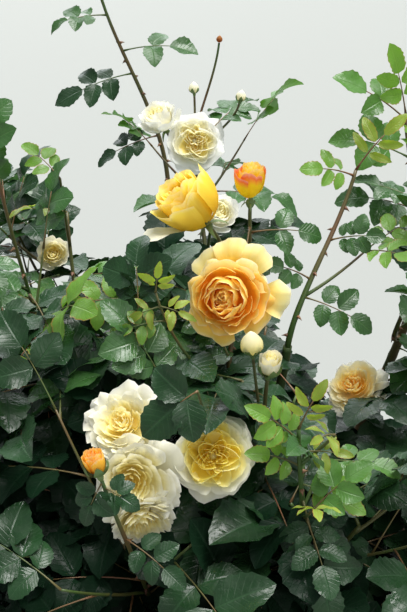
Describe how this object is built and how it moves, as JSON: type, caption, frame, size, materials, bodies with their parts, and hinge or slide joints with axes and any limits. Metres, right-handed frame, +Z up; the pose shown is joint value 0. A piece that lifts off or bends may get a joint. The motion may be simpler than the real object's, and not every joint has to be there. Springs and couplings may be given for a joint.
{
  "type": "rose bush",
  "caption": "Leafy shrub rose with arching canes, compound leaves and full double blooms in golden apricot and cream, cut flat at ground level.",
  "frame": {"origin": "middle of the flat cut under the stump, at ground level", "axes": "+Z up, -Y the side that the picture shows, +X to its right"},
  "size_m": [0.9615, 0.9402, 1.2989],
  "materials": {
    "old_wood": "rough bark",
    "green_wood": "smooth green bark, red-brown on the side in the sun",
    "foliage": "glossy dark green leaves",
    "young_foliage": "soft light green leaves with red edges",
    "golden_petals": "matt velvety petals, golden apricot",
    "cream_petals": "matt velvety petals, cream with yellow centres"
  },
  "bodies": {
    "root": {"cane_back": "green_wood", "cane_back_centre": "green_wood", "cane_back_left": "green_wood", "cane_back_right": "green_wood", "cane_back_tall": "green_wood", "cane_centre": "green_wood", "cane_centre_right": "green_wood", "cane_front": "green_wood", "cane_front_left": "green_wood", "cane_front_right": "green_wood", "cane_left": "green_wood", "cane_right": "green_wood", "fork_left": "green_wood", "fork_right": "green_wood", "shoot_centre_left": "foliage", "shoot_cream_buds": "foliage", "shoot_cream_cluster": "foliage", "shoot_faded_middle": "foliage", "shoot_faded_right": "foliage", "shoot_golden_bloom": "foliage", "shoot_half_open": "foliage", "shoot_left_edge": "foliage", "shoot_left_front": "foliage", "shoot_left_mid": "foliage", "shoot_opening_bud": "foliage", "shoot_orange_bud": "foliage", "shoot_pale_bloom": "foliage", "shoot_quartered": "foliage", "shoot_right_cane": "foliage", "shoot_right_low": "foliage", "shoot_right_mid": "foliage", "shoot_ring_1_1": "foliage", "shoot_ring_1_2": "foliage", "shoot_ring_1_3": "foliage", "shoot_ring_1_4": "foliage", "shoot_ring_1_5": "foliage", "shoot_ring_1_6": "foliage", "shoot_ring_2_1": "foliage", "shoot_ring_2_2": "foliage", "shoot_ring_2_3": "foliage", "shoot_ring_2_4": "foliage", "shoot_ring_2_5": "foliage", "shoot_ring_2_6": "foliage", "shoot_ring_2_7": "foliage", "shoot_ring_3_1": "foliage", "shoot_ring_3_2": "foliage", "shoot_ring_3_3": "foliage", "shoot_ring_3_4": "foliage", "shoot_ring_3_5": "foliage", "shoot_ring_3_6": "foliage", "shoot_ring_3_7": "foliage", "shoot_ring_3_8": "foliage", "shoot_ring_4_1": "foliage", "shoot_tall": "foliage", "shoot_top_right": "foliage", "shoot_white_cluster": "foliage", "shoot_young_left": "young_foliage", "shoot_young_right": "young_foliage", "stump": "old_wood"}
  },
  "joints": []
}
